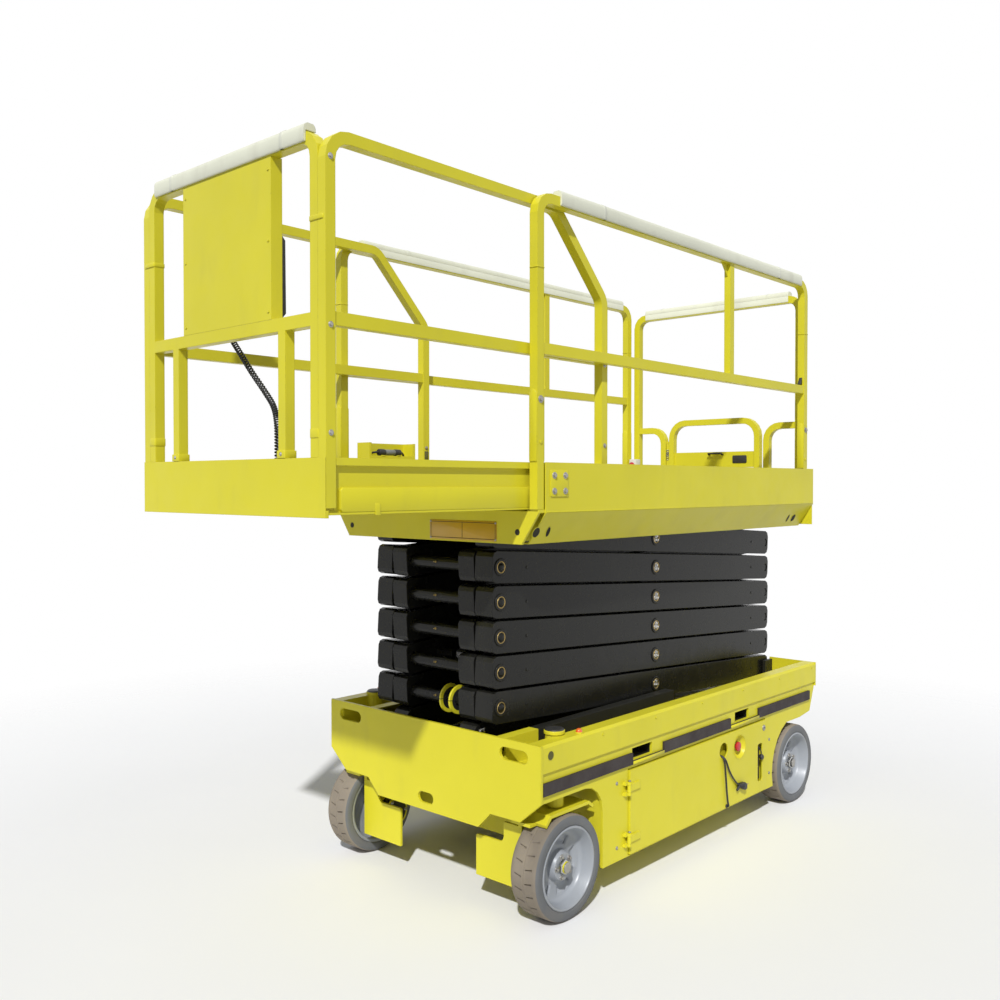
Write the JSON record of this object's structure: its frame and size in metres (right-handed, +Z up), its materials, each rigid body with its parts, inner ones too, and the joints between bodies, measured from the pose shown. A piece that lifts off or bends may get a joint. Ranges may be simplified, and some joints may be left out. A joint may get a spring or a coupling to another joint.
{
  "type": "scissor lift",
  "caption": "Electric slab scissor lift: wheeled chassis, scissor stack, railed deck with a roll-out extension and control box.",
  "frame": {"origin": "ground level under the middle of the whole machine's length and width, with the deck extension rolled out", "axes": "+X towards the steering end, where the deck extension rolls out; +Y to the left; +Z up"},
  "size_m": [3.104, 1.201, 2.632],
  "materials": {
    "yellow": "gloss",
    "arm_grey": "satin",
    "rubber_black": "matt",
    "tyre_grey": "matt",
    "rim_grey": "satin",
    "black": "satin",
    "steel": "polished",
    "plastic_black": "matt",
    "foam_cream": "soft matt",
    "stop_red": "gloss"
  },
  "bodies": {
    "chassis": {"chassis_side_left": "yellow", "chassis_side_right": "yellow", "front_plate": "yellow", "rear_plate": "yellow", "chassis_tray": "yellow", "rear_axle": "black", "bumper_rail_left": "rubber_black", "bumper_rail_right": "rubber_black", "hydraulic_block": "black", "battery_block": "black", "steer_cylinder": "black"},
    "door_left": {"door_left": "yellow", "ground_stop": "stop_red", "mains_lead": "plastic_black", "lead_return": "plastic_black", "mains_plug": "plastic_black"},
    "door_right": {"door_right": "yellow"},
    "steer_rod": {"steer_rod": "steel"},
    "knuckle_left": {"knuckle_left": "yellow"},
    "knuckle_right": {"knuckle_right": "yellow"},
    "front_left_wheel": {"front_left_tyre": "tyre_grey", "front_left_rim": "rim_grey"},
    "front_right_wheel": {"front_right_tyre": "tyre_grey", "front_right_rim": "rim_grey"},
    "rear_left_wheel": {"rear_left_tyre": "tyre_grey", "rear_left_rim": "rim_grey"},
    "rear_right_wheel": {"rear_right_tyre": "tyre_grey", "rear_right_rim": "rim_grey"},
    "outer_frame_1": {"outer_frame_1": "arm_grey"},
    "inner_frame_1": {"inner_frame_1": "arm_grey"},
    "outer_frame_2": {"outer_frame_2": "arm_grey"},
    "inner_frame_2": {"inner_frame_2": "arm_grey"},
    "outer_frame_3": {"outer_frame_3": "arm_grey"},
    "inner_frame_3": {"inner_frame_3": "arm_grey"},
    "outer_frame_4": {"outer_frame_4": "arm_grey"},
    "inner_frame_4": {"inner_frame_4": "arm_grey"},
    "outer_frame_5": {"outer_frame_5": "arm_grey"},
    "inner_frame_5": {"inner_frame_5": "arm_grey"},
    "outer_frame_6": {"outer_frame_6": "arm_grey"},
    "inner_frame_6": {"inner_frame_6": "arm_grey"},
    "lift_barrel": {"lift_barrel": "black"},
    "lift_rod": {"lift_rod": "steel"},
    "platform": {"platform_deck": "yellow", "guardrail_left": "yellow", "guardrail_right": "yellow", "rear_rail": "yellow", "side_foam_left": "foam_cream", "side_foam_right": "foam_cream", "rear_foam": "foam_cream"},
    "entry_gate": {"entry_gate": "yellow"},
    "extension": {"extension_deck": "yellow", "extension_side_rail_left": "yellow", "extension_side_rail_right": "yellow", "extension_front_rail": "yellow", "front_panel": "yellow", "control_box": "plastic_black", "curly_cord": "plastic_black", "cable_tray": "yellow", "front_foam": "foam_cream"}
  },
  "joints": [
    {"name": "lift", "type": "hinge", "parent": "chassis", "child": "outer_frame_1", "pos_m": [-1.49989, 0, 0.618], "axis": [0, -1, 0], "range_deg": [0, 56]},
    {"name": "centre_pin_1", "type": "hinge", "parent": "outer_frame_1", "child": "inner_frame_1", "pos_m": [-0.45794, 0, 0.6835], "axis": [0, 1, 0], "range_deg": [0, 112]},
    {"name": "end_pin_1", "type": "hinge", "parent": "inner_frame_1", "child": "outer_frame_2", "pos_m": [-1.49989, 0, 0.749], "axis": [0, -1, 0], "range_deg": [0, 112]},
    {"name": "centre_pin_2", "type": "hinge", "parent": "outer_frame_2", "child": "inner_frame_2", "pos_m": [-0.45794, 0, 0.8145], "axis": [0, 1, 0], "range_deg": [0, 112]},
    {"name": "end_pin_2", "type": "hinge", "parent": "inner_frame_2", "child": "outer_frame_3", "pos_m": [-1.49989, 0, 0.88], "axis": [0, -1, 0], "range_deg": [0, 112]},
    {"name": "centre_pin_3", "type": "hinge", "parent": "outer_frame_3", "child": "inner_frame_3", "pos_m": [-0.45794, 0, 0.9455], "axis": [0, 1, 0], "range_deg": [0, 112]},
    {"name": "end_pin_3", "type": "hinge", "parent": "inner_frame_3", "child": "outer_frame_4", "pos_m": [-1.49989, 0, 1.011], "axis": [0, -1, 0], "range_deg": [0, 112]},
    {"name": "centre_pin_4", "type": "hinge", "parent": "outer_frame_4", "child": "inner_frame_4", "pos_m": [-0.45794, 0, 1.0765], "axis": [0, 1, 0], "range_deg": [0, 112]},
    {"name": "end_pin_4", "type": "hinge", "parent": "inner_frame_4", "child": "outer_frame_5", "pos_m": [-1.49989, 0, 1.142], "axis": [0, -1, 0], "range_deg": [0, 112]},
    {"name": "centre_pin_5", "type": "hinge", "parent": "outer_frame_5", "child": "inner_frame_5", "pos_m": [-0.45794, 0, 1.2075], "axis": [0, 1, 0], "range_deg": [0, 112]},
    {"name": "end_pin_5", "type": "hinge", "parent": "inner_frame_5", "child": "outer_frame_6", "pos_m": [-1.49989, 0, 1.273], "axis": [0, -1, 0], "range_deg": [0, 112]},
    {"name": "centre_pin_6", "type": "hinge", "parent": "outer_frame_6", "child": "inner_frame_6", "pos_m": [-0.45794, 0, 1.3385], "axis": [0, 1, 0], "range_deg": [0, 112]},
    {"name": "platform_pin", "type": "hinge", "parent": "inner_frame_6", "child": "platform", "pos_m": [-1.49989, 0, 1.404], "axis": [0, -1, 0], "range_deg": [0, 56]},
    {"name": "ram_foot", "type": "hinge", "parent": "inner_frame_1", "child": "lift_barrel", "pos_m": [-1.35617, 0, 0.73997], "axis": [0, -1, 0], "range_deg": [0, 121]},
    {"name": "ram_stroke", "type": "slide", "parent": "lift_barrel", "child": "lift_rod", "axis": [0.9966, 0, 0.0827], "range_m": [0, 0.4205]},
    {"name": "deck_slide", "type": "slide", "parent": "platform", "child": "extension", "axis": [-1, 0, 0], "range_m": [0, 0.88]},
    {"name": "gate_hinge", "type": "hinge", "parent": "platform", "child": "entry_gate", "pos_m": [-1.517, -0.293, 1.75], "axis": [0, 0, -1], "range_deg": [0, 85]},
    {"name": "door_left_hinge", "type": "hinge", "parent": "chassis", "child": "door_left", "pos_m": [0.136, 0.59, 0.3], "axis": [0, 0, -1], "range_deg": [0, 100]},
    {"name": "door_right_hinge", "type": "hinge", "parent": "chassis", "child": "door_right", "pos_m": [0.136, -0.59, 0.3], "axis": [0, 0, 1], "range_deg": [0, 100]},
    {"name": "steer_left", "type": "hinge", "parent": "chassis", "child": "knuckle_left", "pos_m": [0.488, 0.5, 0.5], "axis": [0, 0, 1], "range_deg": [-45, 45]},
    {"name": "steer_right", "type": "hinge", "parent": "chassis", "child": "knuckle_right", "pos_m": [0.488, -0.5, 0.5], "axis": [0, 0, 1], "range_deg": [-45, 45]},
    {"name": "steer_stroke", "type": "slide", "parent": "chassis", "child": "steer_rod", "axis": [0, -1, 0], "range_m": [-0.105, 0.105]},
    {"name": "front_left_spin", "type": "hinge", "parent": "knuckle_left", "child": "front_left_wheel", "pos_m": [0.4996, 0.519, 0.1905], "axis": [0, 1, 0], "continuous": true},
    {"name": "front_right_spin", "type": "hinge", "parent": "knuckle_right", "child": "front_right_wheel", "pos_m": [0.4996, -0.519, 0.1905], "axis": [0, 1, 0], "continuous": true},
    {"name": "rear_left_spin", "type": "hinge", "parent": "chassis", "child": "rear_left_wheel", "pos_m": [-1.3184, 0.519, 0.1905], "axis": [0, 1, 0], "continuous": true},
    {"name": "rear_right_spin", "type": "hinge", "parent": "chassis", "child": "rear_right_wheel", "pos_m": [-1.3184, -0.519, 0.1905], "axis": [0, 1, 0], "continuous": true}
  ],
  "couplings": [
    {"joint": "centre_pin_1", "follows": "lift", "ratio": 2},
    {"joint": "end_pin_1", "follows": "lift", "ratio": 2},
    {"joint": "centre_pin_2", "follows": "lift", "ratio": 2},
    {"joint": "end_pin_2", "follows": "lift", "ratio": 2},
    {"joint": "centre_pin_3", "follows": "lift", "ratio": 2},
    {"joint": "end_pin_3", "follows": "lift", "ratio": 2},
    {"joint": "centre_pin_4", "follows": "lift", "ratio": 2},
    {"joint": "end_pin_4", "follows": "lift", "ratio": 2},
    {"joint": "centre_pin_5", "follows": "lift", "ratio": 2},
    {"joint": "end_pin_5", "follows": "lift", "ratio": 2},
    {"joint": "centre_pin_6", "follows": "lift", "ratio": 2},
    {"joint": "platform_pin", "follows": "lift", "ratio": 1},
    {"joint": "ram_foot", "follows": "lift", "ratio": 2.15},
    {"joint": "ram_stroke", "follows": "lift", "m_per_rad": 0.43},
    {"joint": "steer_right", "follows": "steer_left", "ratio": 1},
    {"joint": "steer_stroke", "follows": "steer_left", "m_per_rad": 0.12}
  ]
}
